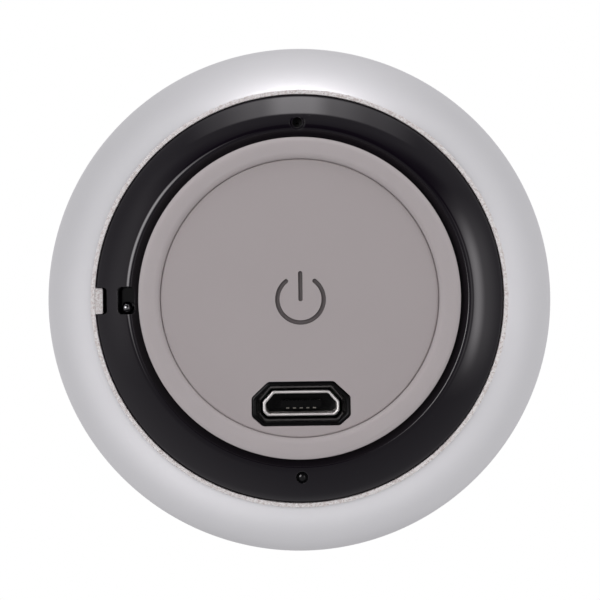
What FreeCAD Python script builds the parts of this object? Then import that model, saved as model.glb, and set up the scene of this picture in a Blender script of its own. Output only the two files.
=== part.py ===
# A pocket-size round speaker: a squat aluminium drum with a perforated top, and a black base that carries a
# grey silicone foot, the power button and the charging port. Every piece goes to its own STEP file.
# Units are millimetres. +Z points up through the grille and z = 0 is the plane that the foot rests on.
# The charging port lies towards +Y, the microphone hole towards -Y and the strap slot towards -X.
import FreeCAD, Part
import math
import os

# ---------------------------------------------------------------- driving dimensions
BODY_R = 26.0            # largest radius of the aluminium drum
BODY_TOP = 25.0          # overall height
SIDE_ARC = 15.0          # radius of the drum's rounded side, seen in section
WIDEST_Z = 14.6          # height at which the drum is widest
WALL = 0.9               # drum wall
RIM_ANGLE = -51.0        # where the rounded side ends at the base, in degrees from its widest point
TOP_ANGLE = 40.0         # where it ends at the cut edge round the grille

OPENING_R = 20.05        # bottom opening, where the black cover shows
LIP_R = 19.5             # inner edge of the lip that the cover and the frame clamp from both sides
LIP_Z = (3.85, 4.75)     # lip, underside and top
GRILLE_SEAT_R = 21.5     # top opening
GRILLE_SEAT_Z = (23.2, 24.0)
GRILLE_SEAT_INNER_R = 20.6

FOOT_R = 15.6            # outer radius of the silicone foot
KEY_R = 13.47            # visible radius of the power key inside the foot
KEY_GAP = 0.05           # running gap round the key
KEY_Z = 0.5              # key face, set back from the resting plane
KEY_EDGE = 0.2           # radius of the key's rounded rim
SIGN_DEPTH = 0.28        # depth of the on-off sign
SIGN_MIDDLE = (0.08, 0.12)
COVER_FLOOR_Z = 2.7      # underside of the cover's floor, above the key
COVER_FLOOR_TOP = 3.9
CREST = (16.54, 1.16, 1.0)          # roll of the cover's ring: its lowest point and its rounding
GROOVE_ROUND = 0.2                  # tighter rounding on the groove side of the roll
RING_SLOPES = (-50.0, -6.0, 24.0, 38.0)   # of the skin, in degrees: groove, start and end of the roll, edge
RING_EDGE_R = 19.86

PORT_Y = 10.2            # charging port, distance from the centre
PORT_BEZEL = (9.55, 4.27)
PORT_MOUTH_Z = 0.58
USB_SHELL = (7.5, 2.5)
USB_WALL = 0.3
USB_MOUTH_Z = 1.7
USB_PLAY = 0.22          # room round the steel shell, inside the sleeve

MIC_Y = -17.1
LED_Y = 17.4
LED_TIP_Z = 1.95         # domed end of the light pipe, down its hole
RING_BACK_Z = 2.6        # flat back of the cover's ring, where the microphone boot and the light pipe stand
STRAP_X = -16.87         # middle of the strap hole
STRAP_HOLE = (1.67, 2.7)
STRAP_PIN_R = 0.6
STRAP_PIN_Y = 0.7
STRAP_PIN_Z = (1.95, 5.7)
STRAP_TAB = (-19.3, 1.25, 3.05)     # metal tab in the strap notch: inner end, half width and underside

BOARD_Z = (8.0, 9.0)
BOARD_R = 18.9
STEM_Z = (5.55, 7.3)     # switch stem, between the key's post and the snap dome
DECK_Z = (10.6, 11.4)    # plate under the battery
BATTERY_Z = (11.6, 15.4)
FRAME_R = 20.2           # outside of the inner frames: it passes the grille seat
FRAME_BORE_R = 19.2
FRAME_SPLIT_Z = 13.4
FRAME_TOP_Z = 22.0
SCREW_CIRCLE_R = 9.5
SCREW_ANGLES = (30.0, 150.0, 270.0)
SCREW_R = 0.8

DRIVER_R = 18.0
DRIVER_FLANGE_Z = (21.0, 22.0)
COIL_R = (5.6, 5.95)

GRILLE_PLATE_R = 21.42
GRILLE_Z = (24.0, 24.6)
CLOTH_Z = (23.8, 24.0)
GRILLE_RINGS = 15
GRILLE_PITCH = 1.28
GRILLE_HOLE_R = 0.37

PARTS_FOLDER = "parts"
UP = FreeCAD.Vector(0, 0, 1)
ORIGIN = FreeCAD.Vector(0, 0, 0)


# ---------------------------------------------------------------- small tools
def at(x, y, z):
    return FreeCAD.Vector(x, y, z)


def edges_of(start, steps, place):
    """Edges of a closed outline. A step is a point, or a pair: an arc through the first to the second."""
    edges = []
    here = start
    for step in steps + (start,):
        is_arc = isinstance(step[0], tuple)
        end = step[1] if is_arc else step
        if is_arc:
            edges.append(Part.Arc(place(here), place(step[0]), place(end)).toShape())
        elif end != here:
            edges.append(Part.LineSegment(place(here), place(end)).toShape())
        here = end
    return edges


def turned(start, *steps):
    """A solid of revolution about Z from an outline of (radius, height) points."""
    wire = Part.Wire(edges_of(start, steps, lambda p: at(p[0], 0, p[1])))
    return Part.Face(wire).revolve(ORIGIN, UP, 360)


def crown(radius, z_axis, z_edge):
    """The halfway point of a dome's outline, on a sphere that is centred on Z."""
    rise = z_edge - z_axis
    sphere_r = (radius ** 2 + rise ** 2) / (2 * rise)
    half_turn = math.asin(radius / sphere_r) / 2
    return sphere_r * math.sin(half_turn), z_axis + sphere_r * (1 - math.cos(half_turn))


def prism(points, z_low, z_high):
    """A straight-sided solid on a closed outline of (x, y) points."""
    wire = Part.Wire(edges_of(points[0], tuple(points[1:]), lambda p: at(p[0], p[1], z_low)))
    return Part.Face(wire).extrude(at(0, 0, z_high - z_low))


def block(x, y, z):
    """A box between the pairs x, y and z."""
    return Part.makeBox(x[1] - x[0], y[1] - y[0], z[1] - z[0], at(x[0], y[0], z[0]))


def centred_block(x, y, size_x, size_y, z):
    return block((x - size_x / 2, x + size_x / 2), (y - size_y / 2, y + size_y / 2), z)


def rod(radius, z_low, z_high, x=0.0, y=0.0):
    return Part.makeCylinder(radius, z_high - z_low, at(x, y, z_low))


def ring(inner, outer, z_low, z_high):
    return rod(outer, z_low, z_high).cut(rod(inner, z_low, z_high))


def round_uprights(solid, radius, chosen=lambda edge: True):
    """Rounds the edges that run along Z."""
    uprights = [e for e in solid.Edges if e.Curve.TypeId == "Part::GeomLine" and is_upright(e) and chosen(e)]
    return solid.makeFillet(radius, uprights)


def is_upright(edge):
    start, end = edge.Vertexes[0].Point, edge.Vertexes[-1].Point
    return math.hypot(end.x - start.x, end.y - start.y) < 1e-6


def polar(radius, degrees):
    turn = math.radians(degrees)
    return radius * math.cos(turn), radius * math.sin(turn)


def compound(solids):
    return Part.makeCompound(list(solids))


def tube(points, radius):
    """A wire along straight runs joined by tangent arcs, each as large as its two runs allow."""
    route = [at(*p) for p in points]
    edges = []
    here = route[0]
    for before, corner, after in zip(route, route[1:], route[2:]):
        back = (before - corner).normalize()
        onward = (after - corner).normalize()
        turn = math.pi - back.getAngle(onward)
        reach = 0.45 * min(before.distanceToPoint(corner), corner.distanceToPoint(after))
        bend = reach / math.tan(turn / 2)
        begin = corner + back * reach
        finish = corner + onward * reach
        inward = (back + onward).normalize()
        middle = corner + inward * (math.hypot(bend, reach) - bend)
        edges.append(Part.LineSegment(here, begin).toShape())
        edges.append(Part.Arc(begin, middle, finish).toShape())
        here = finish
    edges.append(Part.LineSegment(here, route[-1]).toShape())
    section = Part.Wire(Part.makeCircle(radius, route[0], (route[1] - route[0]).normalize()))
    return Part.Wire(edges).makePipeShell([section], True, False)


def side_point(degrees, inset=0.0):
    """A point of the drum's rounded side, at an angle from its widest point."""
    turn = math.radians(degrees)
    centre_r = BODY_R - SIDE_ARC
    reach = SIDE_ARC - inset
    return centre_r + reach * math.cos(turn), WIDEST_Z + reach * math.sin(turn)


def side_angle(height, inset=0.0):
    return math.degrees(math.asin((height - WIDEST_Z) / (SIDE_ARC - inset)))


def port_outline(size, narrow_cut, wide_cut, margin=0.0):
    """An eight-sided outline round the port. Its narrow side faces the centre and its wide side the edge."""
    half_x = size[0] / 2 + margin
    half_y = size[1] / 2 + margin
    ease = margin * math.tan(math.radians(22.5))
    narrow_x = half_x - narrow_cut[0] - ease
    wide_x = half_x - wide_cut[0] - ease
    low = PORT_Y - half_y
    high = PORT_Y + half_y
    return [
        (-narrow_x, low),
        (narrow_x, low),
        (half_x, low + narrow_cut[1] + ease),
        (half_x, high - wide_cut[1] - ease),
        (wide_x, high),
        (-wide_x, high),
        (-half_x, high - wide_cut[1] - ease),
        (-half_x, low + narrow_cut[1] + ease),
    ]


def bezel_outline(margin=0.0):
    return port_outline(PORT_BEZEL, (1.6, 1.5), (1.06, 0.93), margin)


def usb_outline(margin=0.0):
    return port_outline(USB_SHELL, (0.96, 1.08), (0.45, 0.45), margin)


# ---------------------------------------------------------------- outside
def body_shell():
    """Aluminium drum: rounded side, cut edge round the grille, inward lip above the base cover, strap tab."""
    rim = side_point(RIM_ANGLE)
    top = side_point(TOP_ANGLE)
    seat_low, seat_high = GRILLE_SEAT_Z
    inner_low = side_point(side_angle(LIP_Z[1], WALL), WALL)
    inner_high = side_point(side_angle(seat_low, WALL), WALL)
    chamfer_r = 21.85
    drum = turned(
        rim,
        (side_point(0), top),
        (chamfer_r, BODY_TOP),
        (GRILLE_SEAT_R, BODY_TOP),
        (GRILLE_SEAT_R, seat_high),
        (GRILLE_SEAT_INNER_R, seat_high),
        (GRILLE_SEAT_INNER_R, seat_low),
        inner_high,
        (side_point(0, WALL), inner_low),
        (LIP_R, LIP_Z[1]),
        (LIP_R, LIP_Z[0]),
        (OPENING_R, LIP_Z[0]),
        (OPENING_R, rim[1] + 0.02),
    )
    tab_end, tab_half, tab_z = STRAP_TAB
    tab = block((-OPENING_R - 0.15, tab_end), (-tab_half, tab_half), (tab_z, LIP_Z[0] + 0.1))
    return drum.fuse(tab.cut(rod(LIP_R, LIP_Z[0], LIP_Z[0] + 0.1))).removeSplitter()


def on_slope(centre, radius, degrees):
    """The point of a circle in the section at which a skin that is seen from below has a given slope."""
    turn = math.radians(degrees)
    return centre[0] + radius * math.sin(turn), centre[1] - radius * math.cos(turn)


def ring_skin():
    """Steps of the ring's outline, from the groove over the roll to the edge. The three arcs are tangent."""
    crest_r, crest_z, rounding = CREST
    groove, tight, past, edge = RING_SLOPES
    crest_centre = (crest_r, crest_z + rounding)
    tight_centre = on_slope(crest_centre, rounding - GROOVE_ROUND, tight)
    past_sine, edge_sine = math.sin(math.radians(past)), math.sin(math.radians(edge))
    skin_r = (RING_EDGE_R - crest_r - rounding * past_sine) / (edge_sine - past_sine)
    skin_centre = on_slope(crest_centre, rounding - skin_r, past)
    return (
        on_slope(tight_centre, GROOVE_ROUND, groove),
        (on_slope(tight_centre, GROOVE_ROUND, (groove + tight) / 2), on_slope(crest_centre, rounding, tight)),
        (on_slope(crest_centre, rounding, (tight + past) / 2), on_slope(crest_centre, rounding, past)),
        (on_slope(skin_centre, skin_r, (past + edge) / 2), on_slope(skin_centre, skin_r, edge)),
    )


def base_cover():
    """Gloss black base: the visible ring, the floor above the key, and the pocket with the strap bar."""
    wall = turned(
        (1.9, COVER_FLOOR_Z),
        (13.1, COVER_FLOOR_Z),
        (13.1, 2.3),
        (15.72, 2.3),
        (15.72, 1.93),
        *ring_skin(),
        ((19.965, 3.095), (20.0, 3.2)),
        (20.0, LIP_Z[0]),
        (19.42, LIP_Z[0]),
        (19.42, 4.7),
        (19.1, 4.7),
        (19.1, 6.0),
        (18.2, 6.0),
        (18.2, 3.4),
        (17.3, RING_BACK_Z),
        (16.6, RING_BACK_Z),
        (16.6, COVER_FLOOR_TOP),
        (1.9, COVER_FLOOR_TOP),
    )
    cover = wall.fuse(strap_block())
    for degrees in SCREW_ANGLES:
        x, y = polar(SCREW_CIRCLE_R, degrees)
        cover = cover.fuse(rod(2.6, COVER_FLOOR_TOP, 4.5, x, y))
    cover = cover.cut(strap_openings())
    for degrees in SCREW_ANGLES:
        x, y = polar(SCREW_CIRCLE_R, degrees)
        cover = cover.cut(rod(1.5, COVER_FLOOR_Z, 3.55, x, y).fuse(rod(0.9, 3.55, 4.5, x, y)))
    cover = cover.cut(prism(bezel_outline(), COVER_FLOOR_Z, 4.5))
    cover = cover.cut(rod(0.5, 1.0, RING_BACK_Z, 0, MIC_Y).fuse(rod(0.76, 0.8, 1.52, 0, MIC_Y)))
    cover = cover.cut(rod(1.1, RING_BACK_Z, 6.0, 0, MIC_Y))
    cover = cover.cut(rod(0.6, 1.0, RING_BACK_Z, 0, LED_Y).fuse(rod(0.85, RING_BACK_Z, 6.0, 0, LED_Y)))
    return cover.removeSplitter()


def strap_block():
    solid = block((-19.1, -15.5), (-2.2, 2.2), (2.5, 6.2))
    return solid.common(rod(19.1, 2.5, 6.2))


def strap_openings():
    """A hole and a notch at the edge, joined above the bar between them so that a cord can pass round it."""
    long_x, wide_y = STRAP_HOLE
    hole = centred_block(STRAP_X, 0, long_x, wide_y, (0.5, 3.2))
    hole = round_uprights(hole, 0.45)
    notch = block((-20.4, -18.8), (-1.3, 1.3), (1.5, LIP_Z[0]))
    notch = round_uprights(notch, 0.35, lambda e: e.Vertexes[0].Point.x > -19)
    channel = block((-19.6, STRAP_X + long_x / 2), (-1.3, 1.3), (3.1, 4.7))
    socket = rod(STRAP_PIN_R, 4.7, STRAP_PIN_Z[1], STRAP_X, STRAP_PIN_Y)
    return hole.fuse([notch, channel, socket])


def strap_pin():
    """Steel peg with a domed end, inside the strap hole."""
    radius = STRAP_PIN_R
    end, root = STRAP_PIN_Z
    peg = turned((0, end), (crown(radius, end, end + 0.5), (radius, end + 0.5)), (radius, root), (0, root))
    return placed(peg, STRAP_X, STRAP_PIN_Y, 0)


def foot_ring():
    """Silicone foot: a rounded ring that stands a little proud of the key."""
    inner = KEY_R + KEY_GAP
    return turned(
        (inner, 1.0),
        (inner, KEY_Z),
        ((inner + 0.19, 0.17), (inner + 0.6, 0)),
        (FOOT_R - 0.6, 0),
        ((FOOT_R - 0.17, 0.17), (FOOT_R, 0.6)),
        (FOOT_R, 2.3),
        (14.1, 2.3),
        (14.1, 1.0),
    )


def power_button():
    """Silicone key face with the on-off sign cut into it and a window for the port."""
    inset = (1 - math.sqrt(0.5)) * KEY_EDGE
    face = turned(
        (0, KEY_Z),
        (KEY_R - KEY_EDGE, KEY_Z),
        ((KEY_R - inset, KEY_Z + inset), (KEY_R, KEY_Z + KEY_EDGE)),
        (KEY_R, 1.0),
        (12.6, 1.0),
        (12.6, 1.3),
        (0, 1.3),
    )
    face = face.cut(prism(bezel_outline(KEY_GAP), KEY_Z, 1.3))
    return face.cut(placed(power_sign(KEY_Z, KEY_Z + SIGN_DEPTH), *SIGN_MIDDLE, 0))


def power_sign(z_low, z_high):
    """Broken circle with a bar in its gap, the gap towards -Y."""
    middle_r = 2.24
    half_stroke = 0.22
    gap_half = 38.0
    sweep = 360.0 - 2 * gap_half
    height = z_high - z_low
    outer = Part.makeCylinder(middle_r + half_stroke, height, at(0, 0, z_low), UP, sweep)
    inner = Part.makeCylinder(middle_r - half_stroke, height, at(0, 0, z_low), UP, 360)
    arc = outer.cut(inner)
    arc.rotate(ORIGIN, UP, -90 + gap_half)
    ends = []
    for side in (-1, 1):
        x, y = polar(middle_r, -90 + side * gap_half)
        ends.append(rod(half_stroke, z_low, z_high, x, y))
    bar_low, bar_high = -2.52, -0.02
    bar = block((-half_stroke, half_stroke), (bar_low, bar_high), (z_low, z_high))
    ends.append(rod(half_stroke, z_low, z_high, 0, bar_low))
    ends.append(rod(half_stroke, z_low, z_high, 0, bar_high))
    return arc.fuse(ends + [bar])


def button_web():
    """Thin silicone web that hangs the key from the foot and lets it give."""
    return ring(12.6, 14.1, 1.55, 1.8).cut(prism(bezel_outline(0.35), 1.55, 1.8))


def button_plunger():
    """Stiff plate behind the key, with the post that reaches the switch."""
    plate = rod(12.6, 1.3, 2.0).cut(prism(bezel_outline(0.35), 1.3, 2.0))
    rib = ring(6.6, 7.4, 2.0, 2.2)
    post = rod(1.6, 2.0, 5.5)
    window = prism(bezel_outline(0.35), 2.0, 2.2)
    return plate.fuse([rib.cut(window), post]).removeSplitter()


def port_bezel():
    """Black sleeve round the charging port, with a funnel mouth."""
    throat_z = 1.35
    sleeve = round_uprights(prism(bezel_outline(), PORT_MOUTH_Z, 4.5), 0.5)
    hole = prism(usb_outline(USB_PLAY), PORT_MOUTH_Z, 4.5)
    mouth = loop(bezel_outline(-0.28), PORT_MOUTH_Z)
    throat = loop(usb_outline(USB_PLAY), throat_z)
    funnel = Part.makeLoft([mouth, throat], True, True)
    return sleeve.cut(hole.fuse(funnel)).removeSplitter()


def loop(points, z):
    return Part.makePolygon([at(x, y, z) for x, y in points + points[:1]])


def speaker_grille():
    """Aluminium disc with rings of small holes."""
    circles = [Part.Wire(Part.makeCircle(GRILLE_PLATE_R, at(0, 0, GRILLE_Z[0])))]
    for x, y in grille_hole_centres():
        circles.append(Part.Wire(Part.makeCircle(GRILLE_HOLE_R, at(x, y, GRILLE_Z[0]))))
    return Part.Face(circles, "Part::FaceMakerBullseye").extrude(at(0, 0, GRILLE_Z[1] - GRILLE_Z[0]))


def grille_hole_centres():
    yield 0.0, 0.0
    for number in range(1, GRILLE_RINGS + 1):
        count = 6 * number
        for step in range(count):
            yield polar(number * GRILLE_PITCH, 360.0 * step / count + 90)


def grille_cloth():
    return rod(20.4, *CLOTH_Z)


# ---------------------------------------------------------------- frames and seals
def base_gasket():
    return ring(19.6, 20.15, LIP_Z[1], 5.0)


def lower_frame():
    """Black frame that carries the board and the battery, with three screw posts."""
    wall = turned(
        (FRAME_BORE_R, 5.0),
        (FRAME_R, 5.0),
        (FRAME_R, FRAME_SPLIT_Z - 0.8),
        (19.75, FRAME_SPLIT_Z - 0.8),
        (19.75, FRAME_SPLIT_Z),
        (FRAME_BORE_R, FRAME_SPLIT_Z),
    )
    frame = wall.fuse(rod(FRAME_BORE_R, DECK_Z[0], DECK_Z[1]))
    for degrees in SCREW_ANGLES:
        x, y = polar(SCREW_CIRCLE_R, degrees)
        frame = frame.fuse([rod(2.4, BOARD_Z[1], DECK_Z[0], x, y), rod(1.9, 4.5, BOARD_Z[1], x, y)])
    for x, y in board_screw_places():
        frame = frame.fuse(rod(1.3, BOARD_Z[1], DECK_Z[0], x, y))
    for degrees in SCREW_ANGLES:
        x, y = polar(SCREW_CIRCLE_R, degrees)
        frame = frame.cut(rod(SCREW_R + 0.02, 4.5, 10.2, x, y))
    for x, y in board_screw_places():
        frame = frame.cut(rod(0.62, BOARD_Z[1], DECK_Z[0], x, y))
    frame = frame.cut(block((-18.9, -16.2), (-2.4, 2.4), DECK_Z))
    frame = frame.cut(block((15.4, 18.6), (-2.4, 2.4), DECK_Z))
    return frame.removeSplitter()


def board_screw_places():
    return [polar(16.6, 60), polar(16.6, 240)]


def upper_frame():
    """Black ring that holds the driver by its flange."""
    return turned(
        (FRAME_BORE_R, FRAME_SPLIT_Z),
        (19.77, FRAME_SPLIT_Z),
        (19.77, FRAME_SPLIT_Z - 0.78),
        (FRAME_R, FRAME_SPLIT_Z - 0.78),
        (FRAME_R, FRAME_TOP_Z),
        (DRIVER_R + 0.1, FRAME_TOP_Z),
        (DRIVER_R + 0.1, DRIVER_FLANGE_Z[0]),
        (16.8, DRIVER_FLANGE_Z[0]),
        (16.8, 20.0),
        (FRAME_BORE_R, 19.2),
    )


def screw(radius, length, head_r, head_height):
    """A pan-head screw, head down, its seat at z = 0, with a cross in the head."""
    shank = rod(radius, 0, length - radius * 0.5)
    point = Part.makeCone(radius, radius * 0.5, radius * 0.5, at(0, 0, length - radius * 0.5))
    head = turned(
        (0, 0),
        (head_r, 0),
        (head_r, -head_height * 0.4),
        ((head_r * 0.78, -head_height * 0.86), (head_r * 0.4, -head_height)),
        (0, -head_height),
    )
    slot = head_r * 1.2
    width = head_r * 0.22
    cut_z = (-head_height, -head_height * 0.45)
    cross = centred_block(0, 0, slot, width, cut_z).fuse(centred_block(0, 0, width, slot, cut_z))
    return shank.fuse([point, head]).cut(cross).removeSplitter()


def placed(solid, x, y, z):
    copy = solid.copy()
    copy.translate(at(x, y, z))
    return copy


def base_screws():
    pattern = screw(SCREW_R, 6.4, 1.4, 0.75)
    return compound(placed(pattern, *polar(SCREW_CIRCLE_R, a), 3.55) for a in SCREW_ANGLES)


def board_screws():
    pattern = screw(0.6, 2.5, 1.1, 0.55)
    return compound(placed(pattern, x, y, BOARD_Z[0]) for x, y in board_screw_places())


# ---------------------------------------------------------------- electronics
def main_board():
    board = rod(BOARD_R, *BOARD_Z)
    for degrees in SCREW_ANGLES:
        x, y = polar(SCREW_CIRCLE_R, degrees)
        board = board.cut(rod(2.0, *BOARD_Z, x, y))
    for x, y in board_screw_places():
        board = board.cut(rod(0.7, *BOARD_Z, x, y))
    return board.cut(rod(0.4, *BOARD_Z, 0, MIC_Y))


def on_board(x, y, size_x, size_y, height):
    """A component on the board's upper face."""
    return centred_block(x, y, size_x, size_y, (BOARD_Z[1], BOARD_Z[1] + height))


def under_board(x, y, size_x, size_y, height):
    """A component on the board's lower face."""
    return centred_block(x, y, size_x, size_y, (BOARD_Z[0] - height, BOARD_Z[0]))


def wireless_chip():
    return on_board(-3.2, 0.5, 5.0, 5.0, 0.85)


def amplifier_chip():
    return on_board(4.5, -7.5, 3.0, 3.0, 0.85)


def crystal():
    return on_board(-9.5, 0.0, 3.2, 2.5, 0.7)


def power_inductor():
    return round_uprights(on_board(3.6, 0.6, 4.0, 4.0, 1.4), 0.9)


def antenna():
    return on_board(6.5, -14.2, 7.0, 2.0, 0.8)


def board_passives():
    """Ceramic capacitors and resistors, each a separate solid."""
    rows = [(-2.0 + 1.6 * n, 6.2) for n in range(5)] + [(8.6, -3.4 + 1.6 * n) for n in range(4)]
    rows += [(-11.5 + 1.6 * n, -5.0) for n in range(5)]
    return compound(on_board(x, y, 1.0, 0.5, 0.5) for x, y in rows)


def usb_shell():
    """Steel shell of the micro-B receptacle, standing on the board with its mouth down."""
    outer = round_uprights(prism(usb_outline(), USB_MOUTH_Z, BOARD_Z[0]), 0.25)
    inner = round_uprights(prism(usb_outline(-USB_WALL), USB_MOUTH_Z, BOARD_Z[0]), 0.12)
    return outer.cut(inner)


def usb_insulator():
    """Black block that fills the back of the shell and carries the tongue."""
    back = round_uprights(prism(usb_outline(-USB_WALL), 5.6, BOARD_Z[0]), 0.12)
    tongue = centred_block(0, PORT_Y + 0.1, 3.9, 0.7, (2.6, 5.6))
    return back.fuse(tongue).removeSplitter()


def usb_contacts():
    face_y = PORT_Y + 0.1 + 0.35
    strips = []
    for number in range(-2, 3):
        x = 0.65 * number
        strips.append(block((x - 0.15, x + 0.15), (face_y, face_y + 0.1), (2.55, 5.6)))
    return compound(strips)


def switch_body():
    body = under_board(0, 0, 4.6, 4.6, 1.7)
    return body.cut(rod(1.25, 6.3, 7.3)).cut(rod(1.9, 7.2, 7.85))


def switch_stem():
    return rod(1.15, *STEM_Z)


def switch_dome():
    """Snap dome that gives the key its click and pushes it back."""
    top, thickness, radius, drop = 7.32, 0.09, 1.8, 0.43
    return turned(
        (0, top),
        (crown(radius, top, top + drop), (radius, top + drop)),
        (radius, top + thickness + drop),
        (crown(radius, top + thickness, top + thickness + drop), (0, top + thickness)),
    )


def status_led():
    return under_board(0, LED_Y, 1.6, 0.8, 0.6)


def led_light_pipe():
    """Smoked rod that brings the charging light to the ring."""
    narrow_r, wide_r, dome = 0.57, 0.8, 0.16
    low, seat, high = LED_TIP_Z, RING_BACK_Z, 7.2
    tip = (crown(narrow_r, low, low + dome), (narrow_r, low + dome))
    pipe = turned((0, low), tip, (narrow_r, seat), (wide_r, seat), (wide_r, high), (0, high))
    return placed(pipe, 0, LED_Y, 0)


def microphone():
    return under_board(0, MIC_Y, 2.75, 1.85, 0.9)


def mic_boot():
    """Rubber tube between the microphone and its hole, with a pierced web near its mouth."""
    tube_wall = ring(0.5, 1.05, RING_BACK_Z, 7.1)
    web = ring(0.15, 0.5, 2.9, 3.1)
    return placed(tube_wall.fuse(web).removeSplitter(), 0, MIC_Y, 0)


def battery_cell():
    cell = centred_block(0, 0, 30.0, 20.0, BATTERY_Z)
    long_edges = [e for e in cell.Edges if abs(e.Vertexes[0].Point.x - e.Vertexes[-1].Point.x) > 1]
    return cell.makeFillet(1.2, long_edges)


def battery_tape():
    return centred_block(0, 0, 26.0, 16.0, (DECK_Z[1], BATTERY_Z[0]))


def battery_connector():
    return on_board(13.6, 0, 3.0, 4.4, 1.4)


def battery_wires():
    """Two leads from the cell's end, over the edge of the plate and back to the connector."""
    high, low = 13.4, 9.8
    return compound(
        tube([(15.0, y, high), (17.4, y, high), (17.4, y, low), (15.1, y, low)], 0.35) for y in (-1.0, 1.0)
    )


# ---------------------------------------------------------------- driver
def driver_frame():
    """Steel basket: outer flange, open cone and the ring round the magnet pot."""
    basket = turned(
        (7.2, 19.2),
        (8.6, 19.2),
        (11.2, 19.9),
        (14.2, 19.9),
        (15.9, DRIVER_FLANGE_Z[0]),
        (DRIVER_R, DRIVER_FLANGE_Z[0]),
        (DRIVER_R, DRIVER_FLANGE_Z[1]),
        (15.6, DRIVER_FLANGE_Z[1]),
        (15.6, 21.5),
        (14.0, 20.5),
        (10.9, 20.5),
        (8.4, 19.8),
        (7.2, 19.8),
    )
    for number in range(6):
        window = block((8.8, 10.6), (-1.8, 1.8), (19.0, 21.0))
        window.rotate(ORIGIN, UP, 60 * number)
        basket = basket.cut(window)
    return basket


def magnet_pot():
    return turned((0, 15.9), (7.2, 15.9), (7.2, 20.0), (6.2, 20.0), (6.2, 16.9), (0, 16.9))


def magnet():
    return rod(5.3, 16.9, 19.0)


def pole_plate():
    return rod(5.45, 19.0, 20.0)


def voice_coil():
    """Former with the winding on its lower part."""
    return turned((5.6, 18.3), (5.95, 18.3), (5.95, 20.2), (5.72, 20.2), (5.72, 21.3), (5.6, 21.3))


def cone():
    return turned(
        (5.72, 20.95),
        (5.95, 20.95),
        (12.6, 22.0),
        (13.4, 22.0),
        (13.4, 22.2),
        (12.5, 22.2),
        (5.72, 21.2),
    )


def dust_cap():
    outer_r, inner_r, rim_z = 6.6, 6.2, 21.34
    return turned(
        (0, 22.6),
        (crown(outer_r, 22.6, rim_z + 0.11), (outer_r, rim_z + 0.11)),
        (outer_r, rim_z),
        (inner_r, rim_z),
        (crown(inner_r, 22.38, rim_z), (0, 22.38)),
    )


def cone_surround():
    """Half-roll rubber edge between the cone and the flange."""
    return turned(
        (12.7, 22.2),
        (13.4, 22.2),
        ((14.5, 23.05), (15.6, 22.2)),
        (15.6, 22.0),
        (16.8, 22.0),
        (16.8, 22.2),
        (15.8, 22.2),
        ((14.5, 23.25), (13.2, 22.4)),
        (12.7, 22.4),
    )


def spider():
    """Thin centring ring from the coil former to the basket."""
    return turned(
        (5.97, 20.55),
        (7.0, 20.4),
        (8.0, 20.6),
        (9.0, 20.4),
        (10.0, 20.6),
        (10.95, 20.5),
        (11.9, 20.5),
        (11.9, 20.62),
        (11.0, 20.62),
        (10.0, 20.72),
        (9.0, 20.52),
        (8.0, 20.72),
        (7.0, 20.52),
        (5.97, 20.67),
    )


def driver_gasket():
    return ring(16.9, 17.9, DRIVER_FLANGE_Z[1], CLOTH_Z[0])


def driver_terminals():
    """Small insulating plate for the two leads, under the basket."""
    return block((-13.6, -11.4), (-2.4, 2.4), (19.5, 19.9))


def speaker_wires():
    """Two leads from the driver, over the edge of the plate and down to the board."""
    plate, board = 19.5, BOARD_Z[1]
    return compound(
        tube([(-12.5, y, plate), (-12.5, y, 17.4), (-17.5, y, 15.6), (-17.5, y, board)], 0.32)
        for y in (-1.2, 1.2)
    )


# ---------------------------------------------------------------- export
PIECES = [
    body_shell, base_cover, strap_pin, foot_ring, power_button, button_web, button_plunger,
    port_bezel, speaker_grille, grille_cloth, base_gasket, lower_frame, upper_frame, base_screws,
    board_screws, main_board, wireless_chip, amplifier_chip, crystal, power_inductor, antenna,
    board_passives, usb_shell, usb_insulator, usb_contacts, switch_body, switch_stem, switch_dome,
    status_led, led_light_pipe, microphone, mic_boot, battery_cell, battery_tape, battery_connector,
    battery_wires, driver_frame, magnet_pot, magnet, pole_plate, voice_coil, cone, dust_cap,
    cone_surround, spider, driver_gasket, driver_terminals, speaker_wires,
]


def main():
    os.makedirs(PARTS_FOLDER, exist_ok=True)
    for make in PIECES:
        shape = make()
        good = shape.isValid() and shape.Volume > 0
        print(f"{make.__name__:20s} {len(shape.Solids):3d} solids {shape.Volume:9.2f} mm3  valid {good}")
        shape.exportStep(os.path.join(PARTS_FOLDER, make.__name__ + ".step"))


main()
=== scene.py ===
# %% [markdown]
# # A pocket speaker, seen from below
# The speaker is a squat aluminium drum. Its base is a ring of gloss black plastic round a grey silicone
# foot, with a large silicone power key, a charging port, two small holes and a strap bar. Its top is a
# perforated disc. The design comes packed as a frame of named nodes. This lesson keeps the nodes whose
# shape is already right, models the ones that need finer edges again, and gives every piece a finish.

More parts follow.
